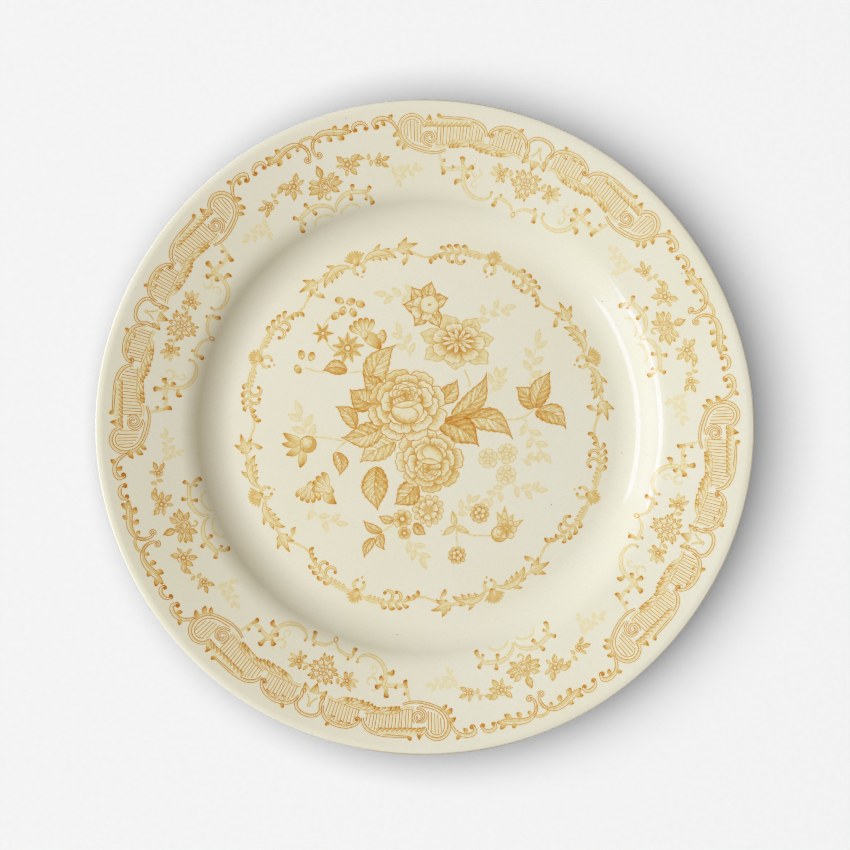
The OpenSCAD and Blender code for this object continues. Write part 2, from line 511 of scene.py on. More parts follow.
def palmette(pen):
    """The arch, drop and three pointed tips in the middle of a strip's panels."""
    arch = curve(-4.6-1.6j, -4.3+0.9j, -5.1+3.6j, -3.6+6j, 7j, 3.6+6j, 5.1+3.6j, 4.3+0.9j, 4.6-1.6j)
    band(pen, arch, 1.1)
    for flip in (True, False):
        half = pen.moved(flip=flip)
        stroke(half, volute(4-1.7j, 1.1, 20, -420), 0.35, 0.75, 2)
        lobe(half, 3.4-2.2j, 5-5j, 3, 0.05, 1, 0.3, shape=SPIKE)
        stroke(half, curve(0.3+2.3j, 0.9+0.6j, 2.3-1.3j), 0.35, 0.45)
    dot(pen, 2.9j, 0.75, 0.5)
    dot(pen, 2.9j, 0.38, 0.1, 2)
    lobe(pen, -2.2j, -6.6j, 3.8, 0, 1, 0.3, shape=SPIKE)


def inner_panel(pen):
    """The fluted panel next to the palmette. Returns its lower edge."""
    top = curve(5.2+0.8j, 6+3.4j, 8.2+5.6j, 12.6+6.8j, 17+6.4j, 20+4.6j, 21.3+2.3j)
    low = curve(6.2-2.8j, 9-2.2j, 12-2.5j, 16-2j, 20.6-1.6j)
    xs = np.arange(7.3, 20.3, 1.28)
    rungs(pen, at_x(low, xs), at_x(beside(top, -1.3), xs))
    band(pen, top, (0.7, 1.5, 0.9))
    for root in at_x(beside(top, -0.5), np.array([8.6, 12, 15])):
        lobe(pen, root, root + 3 - 1.5j, 1.5, -0.15, 1, 0.2, 2, SPIKE)
    lobe(pen, 10.2+6.6j, 8.8+8.3j, 1.3, 0.1, 1, 0.6, 2)
    stroke(pen, volute(20.2+2.6j, 1.3, 20, -400), 0.45, 0.85, 2)
    dot(pen, 20.2+2.6j, 0.5, 0.9, 2)
    return low


def outer_panel(pen):
    """The longer fluted panel, with a leafy fringe across it. Returns its lower edge."""
    top = curve(22+1.4j, 23.4+4.3j, 26.4+6.3j, 31+7.1j, 36+7j, 41.4+6.9j)
    low = curve(22.6-0.9j, 27-1.4j, 31-1.9j, 36-3.2j, 39.5-4.6j, 43-4.4j)
    fringe = curve(29+4.4j, 33+3.9j, 38+3.4j, 43+3.3j, 47.6+2.8j)
    xs = np.arange(23.9, 42.9, 1.3)
    roof = np.minimum(at_x(beside(top, -1.3), xs).imag, np.interp(xs, [22, 29, 43], [9, 4.6, 3.4]))
    rungs(pen, at_x(low, xs), xs + 1j * roof)
    stroke(pen, fringe + 1.4j, 2.4, 0.1, 2)
    band(pen, top, (0.8, 1.3, 1, 0.6))
    for root in at_x(fringe, np.arange(28.4, 47, 1.9)):
        lobe(pen, root + 1.2j, root + 2.3 - 0.2j, 1.3, -0.12, 1, 0.35, 3, SPIKE)
    for root in at_x(fringe, np.arange(28.6, 47.4, 0.75)):
        dot(pen, root + 1.9j + 0.5j * (root.real // 0.75 % 2), 0.16, 0.5, 3, 5)
    lobe(pen, 41+6.6j, 42+8.4j, 1.5, -0.1, 1, 0.6, 2)
    return low


def end_shell(pen):
    """The fluted shell and spiral that end a strip's panels."""
    shell = curve(47.6+3.2j, 48.4+5.8j, 50.4+7.3j, 52.8+7.7j, 55.4+6.5j, 57.1+3.8j, 57.3+0.6j,
                  56.2-2.4j, 53.6-4.9j, 49.6-6.6j, 45.4-7.5j, 41.4-7.4j, 38-6.3j)
    hollow = curve(49.6+4.4j, 51.2+5.8j, 53.2+5.8j, 54.9+4.3j, 55.5+1.4j, 54.8-1.5j, 52.4-3.9j,
                   48.6-5.3j, 45-6j)
    xs = np.arange(48.9, 54.9, 1.3)
    top = np.interp(xs, [48.5, 51.2, 53.2, 55], [3.6, 5.3, 5.4, 4])
    rungs(pen, xs + 1j * np.interp(xs, [48.5, 52.4, 55], [-4, -2.8, 0]), xs + 1j * top)
    band(pen, shell, (0.8, 1.3, 1.3, 1, 0.9, 0.7))
    stroke(pen, hollow, 0.3, 0.7)
    band(pen, volute(44.9-1.4j, 2.5, 120, 470, 22), (1.1, 0.8, 0.3))
    band(pen, curve(44+0.6j, 46.6+0.4j, 47.9-1.6j, 47-4j, 44-5.2j), (0.5, 1.1, 0.6))
    several(lobe, pen, (
        (47.6+3.6j, 45.4+7.9j, 2.1, 0.25, 1, 0.45),
        (46.4+3.6j, 43.9+4.6j, 1.6, 0.2, 0.95, 0.45),
        (56.8+0.6j, 60.2-0.6j, 1.9, 0.15, 1, 0.4),
        (56.6-2.2j, 59-4.6j, 2, 0.1, 1, 0.4),
        (54.6-4j, 56.9-6.2j, 1.6, 0.1, 0.95, 0.4)), 2)


def panels(pen):
    """One side of a strip's fluted panels, from the palmette out to the end shell."""
    for low in (inner_panel(pen), outer_panel(pen)):
        stroke(pen, low + 0.4j * np.abs(np.sin(low.real * 2.1)), 0.3, 0.55)
        stroke(pen, low - 0.7j, 0.22, 0.4)
    end_shell(pen)


def acanthus(pen):
    """The toothed leaf that hangs along under one side of the panels."""
    edge = curve(35-4.4j, 31-3.4j, 27-3j, 23-3.2j, 19-3.8j, 15-4.6j, 10.5-3.6j)
    stroke(pen, edge, (0.6, 1.6, 2, 2.2, 1.2), 0.1, 0)
    for i in range(len(edge) - 2, 1, -3):
        long = 4.6 + 0.8 * math.sin(i * 1.7)
        level = 3 * (i // 3 % 3)
        root = edge[i] + 1.2j
        lobe(pen, root - 1, root - 0.4 + polar(long, -34), 2.2, 0.1, 0.9, 0.1, level)
        lobe(pen, root + 0.4 + 0.3j, root + 0.6 + polar(long * 0.8, -22), 1.4, 0.12, 0.6, 0.05, level + 2)
        ripple = curve(root - 0.6, root + 1.2 - 0.9j, root + 2.6 - 2j, steps=3)
        stroke(pen, beside(ripple, 0.35), 0.14, 0.55, level + 3)


def panel_flowers(pen):
    """The rosette under the middle of the panels, with its leaves."""
    heart = pen.moved(-12.4j)
    for k in range(10):
        aim = polar(1, 90 + 36 * k)
        leaflet(heart, aim * 3.1, aim * (6.4 if k % 2 else 5.6), 1.9, 0.5)
        if k % 3:
            lobe(heart, aim * 4.6 * polar(1, 14), aim * 7.2 * polar(1, 20), 1.1, 0.15, 1, 0.3)
    petals(heart, 0, 1.5, 4.5, 8, 90, root=0.35, frills=2, depth=0.14, line=0.72, hatch=3, lift=2)
    petals(heart, 0, 0.5, 2.2, 6, 70, root=0.5, frills=1, depth=0.1, line=0.8, hatch=2, lift=4)
    for k in range(7):
        dot(heart, polar(0.6, 51 * k), 0.22, 0.75, 6, 6)
    for flip in (False, True):
        half = pen.moved(flip=flip)
        stroke(half, curve(5.4-12.2j, 8.2-12j, 10.4-11.6j), 0.25, 0.5)
        blossom(half, 11.8-11.6j, 2, ink=0.2)
        several(leaflet, half, (
            (13.2-11j, 16.6-10j, 1.4, 0.3),
            (12.4-10j, 14.6-7.8j, 1.4, 0.4),
            (12.2-13.2j, 13.4-15.8j, 1.4, 0.35),
            (7.4-11.4j, 8.4-9j, 1.3, 0.4),
            (13.2-12.2j, 17-12.6j, 1.4, 0.22)))
        lobe(half, 10.8-10.6j, 10-8.6j, 1.5, 0.1, 0.85, 0.4)
        lobe(half, 11-13j, 9.6-14.8j, 1.5, 0.1, 0.85, 0.4)


def panel_brackets(pen):
    """The scroll that hangs under one side of the panels and meets its twin in a ring."""
    sweep = curve(30.4-10.8j, 28.6-13.6j, 28.8-16.6j, 27.6-20j, 24.6-22.6j, 20.4-23.8j,
                  16.2-23.3j, 13.4-21.2j)
    band(pen, sweep, (1.1, 1.7, 1.5, 0.9, 0.5), 0.12, 0.42)
    band(pen, curve(38.8-13.6j, 35-13.9j, 31.6-13.2j, 28.4-13.4j, 26.2-12.6j),
         (0.8, 1, 1.4, 0.9), 0.12, 0.36)
    band(pen, curve(40.9-7.9j, 39.9-10.6j, 39-13.4j), (0.4, 1.2), 0.12, 0.34)
    several(lobe, pen, (
        (30-11.6j, 30.9-8.3j, 2.1, 0.15, 1, 0.35),
        (27.6-13.2j, 24.7-12j, 1.9, -0.2, 1, 0.4),
        (34.6-14j, 34-12.4j, 1.2, 0, 0.95, 0.45),
        (39.4-13j, 38.4-16.4j, 1.9, -0.15, 1, 0.4),
        (39.6-10.6j, 38-10.4j, 1.2, 0.1, 0.9, 0.4),
        (28.2-15j, 26.4-16.6j, 1.7, -0.2, 1, 0.4),
        (29-18j, 32.6-19.6j, 1.9, 0.25, 1, 0.35),
        (13.8-21.6j, 14-19.6j, 1, 0, 0.6, 0.3)), 2, HOOK)
    inner = curve(11.3-23j, 10.8-22j, 9.4-21.4j, 7-21.5j, 3.4-22.4j, 0.9-24.4j)
    band(pen, inner, (1, 1.1, 0.9, 0.4), 0.12, 0.4)
    lobe(pen, 10.6-21.8j, 11.8-25.2j, 1.9, -0.2, 1, 0.3, 2, HOOK)
    lobe(pen, 8.8-21.4j, 9.4-19.6j, 1.1, 0.1, 0.9, 0.3, 2, HOOK)
    stroke(pen, polar(0.95, np.linspace(0, 360, 15)) - 25.6j, 0.4, 0.6)
    ghost = pen.moved(strength=0.5)
    stroke(ghost, volute(22.4-13.2j, 3.6, 60, -330), (0.3, 0.8, 0.3), 0.4)
    stroke(ghost, volute(22.6-18.8j, 2.2, 100, -330), 0.35, 0.4)


def garland(pen):
    """One side of the scrolls that join two sets of panels along the lip."""
    band(pen, curve(3.4+5.6j, 2+4.6j, 1.1+2.4j, 1.1+0.2j, 1.9-1.3j), (0.6, 1.2, 0.9, 0.7))
    band(pen, volute(2.6-0.9j, 1.3, 210, 400), (0.8, 0.4))
    arm = curve(1.2+2.2j, 2.4+5j, 5.6+6.7j, 9.4+6.4j, 13.2+5.2j, 16.4+4.6j)
    band(pen, arm, (0.5, 1.2, 2.2, 2.6, 1.6))
    stroke(pen, beside(arm, -0.1), 0.2, 0.5, 2)
    several(lobe, pen, (
        (11+6.6j, 12.4+8.3j, 1.7), (14.6+5.6j, 17.2+7.4j, 1.9), (8.4+5j, 9.4+2.6j, 1.9),
        (12.4+4.4j, 14.4+2j, 2.2), (4.4+5.2j, 5+3.6j, 1.3), (16+5j, 18+4.4j, 1.5)),
        -0.12, 1, 0.4, 2)
    band(pen, curve(18.8+4.4j, 19+6j, 20.8+7j, 23+6.5j, 24.3+5j), (0.6, 1.3, 1.3, 0.7))
    large = curve(27.2+4.4j, 27+6j, 28.8+7.2j, 31.6+7.1j, 34+5.6j, 35.6+3.2j, 36.6+0.8j)
    band(pen, large, (0.9, 1.6, 1.5, 1, 0.6))
    for centre, size, start, sweep in (
            (19.5+4.6j, 0.9, 180, 360), (23.6+4.4j, 1, 30, -380), (28+4.3j, 1.2, 180, 380)):
        stroke(pen, volute(centre, size, start, sweep), 0.5, 0.9, 2)
        dot(pen, centre, size * 0.55, 0.95, 2)
    lobe(pen, 30.4+6.4j, 31.4+4.2j, 1.6, -0.15, 1, 0.5, 2)
    lobe(pen, 33.2+6.4j, 34.6+8.4j, 1.5, 0.1, 1, 0.5, 2)


def garland_flowers(pen):
    """One side of the spray of flowers under the garland."""
    leaflet(pen, 2.6-14j, 8.4-14.2j, 2.6, 0.45, 0.06)
    leaflet(pen, 2.2-15.2j, 5.4-17.6j, 2.2, 0.5, 0.05)
    leaflet(pen, 2.4-11.8j, 6.2-9.6j, 2.1, 0.4, 0.05)
    lobe(pen, 4.8-12.6j, 7.4-11.8j, 1.5, 0.1, 0.9, 0.4)
    blossom(pen, 12.7-8.1j, 2.5, ink=0.1)
    several(leaflet, pen, (
        (11.4-6.6j, 9.2-3.8j, 2.2), (14.6-7.4j, 19-5.6j, 2.4), (14.4-8.6j, 18-9.8j, 2),
        (13.4-10j, 15.6-13.2j, 2.2), (17.4-6.8j, 20.4-7.4j, 1.6)), 0.45, 0.06)
    stroke(pen, curve(20.2-7.4j, 23-8.6j, 25.2-9.4j), 0.2, 0.3)
    several(leaflet, pen, (
        (22.2-8.2j, 22.8-6j), (23.4-8.8j, 22.6-11j), (26.8-8.4j, 27.6-6.2j),
        (10.4-8.4j, 7.6-7.6j), (12-10.2j, 10.8-12.6j)), 1.3, 0.36)
    blossom(pen, 26.5-9.8j, 1.9, ink=0.12)
    leaflet(pen, 28.2-9.4j, 31.6-8.4j, 1.6, 0.5)
    leaflet(pen, 27.8-10.8j, 30.6-12.6j, 1.6, 0.5)
    ghost = pen.moved(strength=0.55)
    sprig(ghost, curve(31-11.8j, 35-14.4j, 39-15j, 43-14.6j), 3.4, 6, 0.2)
    sprig(ghost, curve(33-13.4j, 34.6-16.4j, 35-18.6j), 2.8, 3, 0.18)


def garland_brackets(pen):
    """One side of the small scroll under the spray of flowers."""
    sweep = curve(0.4-24.6j, 1.6-22.2j, 4.8-20.2j, 9.2-19.2j, 13.6-19.8j, 17.4-20.6j, 19.4-20.4j)
    band(pen, sweep, (0.4, 1.1, 1.6, 1.3, 0.7), 0.12, 0.42)
    band(pen, curve(16.8-20.4j, 17.6-22j, 19.2-23.4j, 19.8-25j), (0.5, 1.3), 0.14, 0.42)
    several(lobe, pen, (
        (11.4-19j, 12.6-16.4j, 1.7), (10.4-19.8j, 9.2-22.4j, 1.7), (18.4-20.8j, 20.6-19j, 1.6),
        (19-23.2j, 19.6-26.2j, 2.2), (17.6-22.4j, 16.4-23.8j, 1.2)), 0.12, 1, 0.3, 2, HOOK)
    ghost = pen.moved(strength=0.5)
    stroke(ghost, curve(2-26.2j, 4.2-24.6j, 8-23.8j, 11.4-24.6j, 12.8-26.4j), 0.6, 0.4)


def border_strip(angle, strength):
    """A quarter of the border: a set of panels, then the garland that follows it clockwise."""
    sheet = Sheet()
    middle = ring_pen(sheet, RIM_REFERENCE_R, angle, strength, -0.5)
    gap = ring_pen(sheet, RIM_REFERENCE_R, angle - QUARTER / 2, strength, -0.5)
    palmette(middle)
    panel_flowers(middle)
    for flip in (False, True):
        half = middle.moved(flip=flip)
        panels(half)
        acanthus(half)
        panel_brackets(half)
        other = gap.moved(flip=flip)
        garland(other)
        garland_flowers(other)
        garland_brackets(other)
    band(gap, curve(-3.4+5.6j, -1.8+6.9j, 7.2j, 1.8+6.9j, 3.4+5.6j), 0.9, 0.24, 0.62)
    leaflet(gap, -9.8j, -4.6j, 3, 0.55)
    rose(gap, -13.2j, 3.5, ink=0.1)
    stroke(gap, curve(-1-16.4j, -1.9-18j, -0.6-19.2j, 0.8-18.2j), 0.6, 0.45)
    return sheet


# ---------------- the wreath
WREATH_R = 72
WREATH_START = 67.5
WREATH_MOTIFS = 8


def fan(pen, wide, rays):
    """A small palmette: pale rays that spread from a dark root."""
    for lean in -1 + 2 * np.arange(rays) / (rays - 1):
        tip = wide * lean + 1j * (5.9 - 2.4 * lean ** 2)
        lobe(pen, 0.6j, tip, 1.25, 0.04 * lean, 0.34, 0.62)
    lobe(pen, 2.6j, -0.6j, 2.6, 0, 1, 0.3, 2)


def pendant(pen):
    """The double curl and drop under a palmette, one side."""
    band(pen, curve(0.3+0.6j, 1.5-0.6j, 2.3-2.2j, 1.9-3.6j), (0.5, 1.1, 0.6), 0.22, 0.5)
    dot(pen, 1.4-3.7j, 0.7, 0.7, 2)
    dot(pen, -5.4j, 0.55, 0.55)


def ivy(pen, base, tip, lift):
    """A leaf of five sharp lobes, dark at their tips."""
    along = tip - base
    for step, (turn, reach) in enumerate(((-105, 0.42), (105, 0.42), (-52, 0.78), (52, 0.78), (0, 1))):
        end = base + along * (0.15 + reach * 0.85 * polar(1, turn))
        root = base + along * 0.08
        lobe(pen, root, end, abs(along) * 0.4, 0.04, 1.05, 0.25, lift + 2 * step, SPIKE)


def wreath_curls(pen):
    """One side of the wreath's motif of curled leaf tips."""
    arm = curve(0.8+0.6j, 3.2+1.9j, 7.6+2.3j, 12.2+1.6j, 16.6+0.4j, 20.6-0.8j, 24.6-2.2j, 28.3-2.4j)
    band(pen, arm, (0.5, 1.1, 1.2, 1, 0.7, 0.4), 0.24, 0.42, 0.2)
    for x in (4.4, 6.2, 8, 9.8):
        lobe(pen, x + 2j, x + 1.8 + 0.1j, 1, 0.1, 0.5, 0.25, 1)
    several(lobe, pen, (
        (10.6+2j, 13.4+3.8j, 1.5), (13.4+1.6j, 16.6+3.5j, 1.6), (16.4+1j, 19.4+2.9j, 1.6),
        (19+0.6j, 22+1.9j, 1.4), (19.6+0.2j, 21.6-2.6j, 1.7), (21.6-0.6j, 24-3.2j, 1.6),
        (23-1.4j, 25.6-5j, 1.7)), 0.22, 1.05, 0.25, 2, HOOK)
    for hook in (curve(13.6+1j, 15-0.6j, 14.4-2.9j, 12.4-3.4j, 11.4-2.2j),
                 curve(17.2+0.4j, 18.4-1.2j, 17.8-3.2j, 16.2-3.4j)):
        band(pen, hook, (0.5, 1.1, 0.7), 0.26, 0.8, 0.18, 3)
        dot(pen, hook[-1], 0.75, 0.95, 5)


def wreath_ivy(pen):
    """One side of the wreath's motif of ivy leaves."""
    arm = curve(0.8+0.2j, 2.6-0.4j, 4.4+0.8j, 7.2+1.7j, 12+1.2j, 17.4+1.6j, 20.4+1.4j, 24.2-0.8j, 28.3-2.4j)
    band(pen, arm, (0.5, 0.9, 1.1, 0.8, 0.5, 0.4), 0.24, 0.42, 0.2)
    several(lobe, pen, (
        (6.2+0.8j, 7.2-1j, 1.5), (8.4+0.6j, 10-1.6j, 1.9), (10.8+0.4j, 12.6-2j, 2),
        (12.8+0.6j, 16.4-1.9j, 2.4), (8.8+2.4j, 11.2+5j, 2), (11.8+1.8j, 14.6+2.4j, 1.7)),
        0.1, 1.05, 0.3, 2, SPIKE)
    band(pen, curve(3.4+0.3j, 6.4+1.6j, 10+1.7j, 14.4+0.2j), (0.7, 2.2, 2.6, 0.4), 0.2, 0.7, 0.2, 4, 0.9)
    ivy(pen, 18.6+1.4j, 25.6+3.2j, 6)
    band(pen, curve(20.4+0.8j, 21.2-1.2j, 20.6-3.2j, 19.6-4.4j), (0.5, 0.8), 0.24, 0.45, 0.2)
    lobe(pen, 20.9-2.4j, 19.2-5.2j, 1.7, -0.2, 1, 0.4, 2)


def wreath(strength):
    """Motifs of curls and of ivy in turn, each spread from a small palmette."""
    sheet = Sheet()
    for k in range(WREATH_MOTIFS):
        pen = ring_pen(sheet, WREATH_R, WREATH_START + 360 / WREATH_MOTIFS * k, strength)
        fan(pen, *((4.2, 9) if k % 2 else (3.2, 7)))
        for flip in (False, True):
            half = pen.moved(flip=flip)
            pendant(half)
            (wreath_ivy if k % 2 else wreath_curls)(half)
    return sheet


# ---------------- the bouquet
def peony(pen, centre, radius, squash=1):
    """An open flower with pointed outer petals and a tuft of narrow ones."""
    pen = pen.moved(centre, radius / 13, squash=squash)
    dot(pen, 0, 8, 0.5, 0, 24)
    for k in range(7):
        petal(pen, 0, 4, dice.uniform(12.6, 14.6), 51.4 * k + 8, 25, 0.26, 0.5, depth=0.06, square=0.08,
              point=0.24, line=0.62, hatch=13, lift=1 + 2 * (k % 2))
    dot(pen, -0.3j, 6.8, 0.8, 5, 24)
    petals(pen, -0.4j, 4.6, 9.4, 7, 255, root=0.6, hatch=8, lift=6)
    dot(pen, 0.4j, 5, 0.85, 8, 20)
    tuft = dict(frills=1, depth=0, point=0.25, hatch=1)
    petals(pen, 0.6j, 1.2, 6, 11, 0, 0.8, root=0.4, lift=9, **tuft)
    petals(pen, 0.8j, 0.3, 3.4, 8, 20, 0.75, root=0.5, lift=11, **tuft)


def bud_flower(pen, centre, radius, turn=0):
    """A flower half open, its pointed petals round a pale cup."""
    pen = pen.moved(centre, polar(radius / 8, turn))
    dot(pen, 0, 4.6, 0.6, 0, 18)
    for k, aim in enumerate((20, 78, 128, 176, 238, 300)):
        tip = polar(dice.uniform(7.8, 9.2), aim)
        leaf(pen, polar(1.6, aim), tip, 5.4, 0.06, 3, 0.5, 1, 1 + 2 * (k % 2))
    dot(pen, 0.2, 4.2, 0.8, 4, 18)
    petals(pen, -0.8-0.6j, 1, 4.9, 5, 210, ink=0.06, root=0.45, hatch=6, lift=5)
    cup = np.linspace(-120, 240, 21)
    t = np.linspace(0, 1, 5)[:, None]
    front = 0.9 + 0.5j + polar(0.6 + 2.6 * t, cup) * (1 + 0.05 * np.cos(np.radians(cup * 5)))
    pen.draw(front, 0.05 + 0.3 * t[:-1] ** 2 * (cup[:-1] < 60), 8)
    stroke(pen, front[-1], 0.24, 0.6, 9)


def star_flower(pen, centre, radius, count, turn=0, ink=0.5):
    """A flower of narrow dark petals round a pale eye."""
    for k in range(count):
        aim = polar(1, turn + 360 * k / count)
        tip = centre + aim * radius * dice.uniform(0.88, 1.05)
        lobe(pen, centre + aim * radius * 0.2, tip, radius * 0.42, 0, 0.3, ink, 2 * (k % 2), SPIKE)
        rib = np.linspace(centre + aim * radius * 0.3, tip, 4)
        stroke(pen, rib, (0.4, 0.1), 0.8, 4)
    dot(pen, centre, radius * 0.24, 0.8, 5)
    dot(pen, centre, radius * 0.14, 0.1, 6)


def bell(pen, root, tip, width):
    """A drooping flower: long petals that spread from a cap and curl at their dark tips."""
    along = tip - root
    for step, k in enumerate((-2, 2, -1, 1, 0)):
        end = tip + 1j * along * 0.28 * k - along * 0.05 * k * k
        lobe(pen, root + along * 0.2, end, width * 0.27, 0.07 * k, 0.8, 0.02, 2 * step, HOOK)
    lobe(pen, root + along * 0.4, root - along * 0.04, width * 0.36, 0, 0.8, 0.1, 11)


def bud(pen, centre, aim, size):
    """A closed bud: a pale drop with a dark cap at its stem end."""
    ahead = polar(size, aim)
    lobe(pen, centre - ahead, centre + ahead, size * 1.7, 0.06, 0.62, 0.2, 0)
    lobe(pen, centre + ahead * 0.1, centre - ahead * 1.25, size * 1.5, -0.1, 1, 0.5, 3)
    dot(pen, centre + ahead * 0.4 + 0.2j * ahead, size * 0.24, 0.1, 6, 6)


def berry(pen, centre, radius, ink):
    dot(pen, centre, radius, ink, 0, 14)
    dot(pen, centre + radius * (-0.2+0.2j), radius * 0.68, 0.32, 1)
    dot(pen, centre + radius * (-0.26+0.3j), radius * 0.4, 0.1, 2)
    stroke(pen, centre + polar(radius, np.linspace(0, 360, 13)), 0.26, min(1, ink + 0.3), 2)


BRANCH_WIDTH = 0.32


def branch(pen, *points):
    """A thin bare stem."""
    stroke(pen, curve(*points), (BRANCH_WIDTH, BRANCH_WIDTH * 0.7), 0.34)


# Sprigs of the background: stem, size of the leaves and their number
SPRIGS = (
    (curve(-2.6+54.8j, -6+54.5j, -10+53.7j, -15.4+54.3j), 5.2, 4),
    (curve(20.4+41j, 24+45.6j, 28.6+48.2j, 33+48.9j), 4.6, 5),
    (curve(-5.6+28.5j, -7.4+33j, -9.6+38.4j), 5, 4),
    (curve(27+13.8j, 28.6+18j, 30.6+20.6j), 5, 4),
    (curve(43+17.4j, 44+23j, 44.6+28j, 46+34.6j), 5.6, 5),
    (curve(40.6+4.4j, 43-1.4j, 45.4-6.4j, 48.6-10.6j), 5.4, 5),
    (curve(-46.2-6.4j, -48.6-1.4j, -50.6+4.6j), 6.6, 4),
    (curve(-46.2-31j, -44.2-36j, -40.6-38.4j, -36-39.2j), 5, 4),
    (curve(-7.2-45.6j, -4.2-49j, -1.6-53.6j), 5.2, 4),
    (curve(36-23.4j, 40.4-25.6j, 46-25.8j), 4.6, 4),
    (curve(33.4-23j, 30.4-26.8j, 26-29.6j), 4.4, 4),
    (curve(12.6-36.4j, 15.6-33.4j, 19.4-30.4j), 4.2, 4),
    (curve(39.6-13.4j, 43.6-13j), 3.6, 2))

BRANCHES = (
    (-20.4+16.8j, -24.6+22.4j, -31+22.2j),
    (-39.6+22.6j, -44+22.8j, -49+24.4j),
    (-33.6+29.4j, -39.2+33.4j, -41.4+40.4j, -38.4+45.2j, -33+47.2j),
    (31+3j, 37+3.2j, 41.6+4.6j, 45.1+7.4j),
    (-27-5.4j, -33-5.6j, -39-4.6j, -46-3.8j),
    (-31.6-5.6j, -35-8.2j, -36-10.8j),
    (12.8-38.6j, 13.2-43.6j, 13.4-48.6j),
    (14.6-42.6j, 20-44.2j, 27-44.4j, 30-44.2j),
    (16.4+23.6j, 18.2+19.4j, 18.6+16.4j))

# Base, tip, width, bend, teeth, ink and which half is in shade
LEAVES = (
    (-22+14.6j, -11.4+33.8j, 11, 0.14, 8, 0.42, 1),
    (-17.6+15.4j, -24.6+21.4j, 7.6, 0.06, 6, 0.6, -1),
    (-19.4+9.4j, -30.6+15.6j, 10.6, 0.12, 7, 0.6, 1),
    (-28-0.2j, -36.6+8.4j, 6.8, -0.14, 6, 0.55, -1),
    (-16.4+0.4j, -34.2-4.2j, 10.6, 0.1, 8, 0.46, -1),
    (-12-6.2j, -26.4-14.6j, 10.6, -0.08, 7, 0.3, 1),
    (-19.6-16.2j, -19-34.2j, 11.4, -0.06, 9, 0.52, 1),
    (-3.4-22.6j, -12.4-31.6j, 10.4, 0.1, 7, 0.55, 1),
    (5.6+10.2j, 13.4+19.6j, 8, -0.12, 6, 0.56, 1),
    (11.4+4.4j, 25.4+22.4j, 8.8, -0.14, 8, 0.5, -1),
    (16+2.8j, 36.2-5j, 10.4, 0.2, 8, 0.5, 1),
    (6.6+1.8j, 22.4-8j, 12.4, 0.12, 8, 0.72, 1),
    (44.6+7.8j, 37.4+16.4j, 8.4, -0.12, 7, 0.52, 1),
    (45.4+8j, 51.6+22.8j, 8.8, 0.06, 8, 0.52, -1),
    (45.6+6.4j, 58-0.8j, 9, 0.2, 7, 0.52, -1),
    (-36.2-10.2j, -34.8-19.8j, 6.2, 0.16, 6, 0.55, 1),
    (-31.6+23.4j, -41.6+23j, 6.4, -0.14, 6, 0.62, 1),
    (-17.4-43j, -25-38.2j, 3.8, 0.1, 5, 0.5, 1),
    (-17.6-43.6j, -16.2-50.2j, 4.2, -0.2, 5, 0.45, 1),
    (-20.6-45.4j, -24.6-53.4j, 4, -0.1, 5, 0.5, -1),
    (-12.6-38.2j, -18.6-36.4j, 3.6, 0.1, 4, 0.4, 1),
    (-4.2-39.6j, 0.6-43.8j, 4.6, -0.1, 5, 0.6, 1))


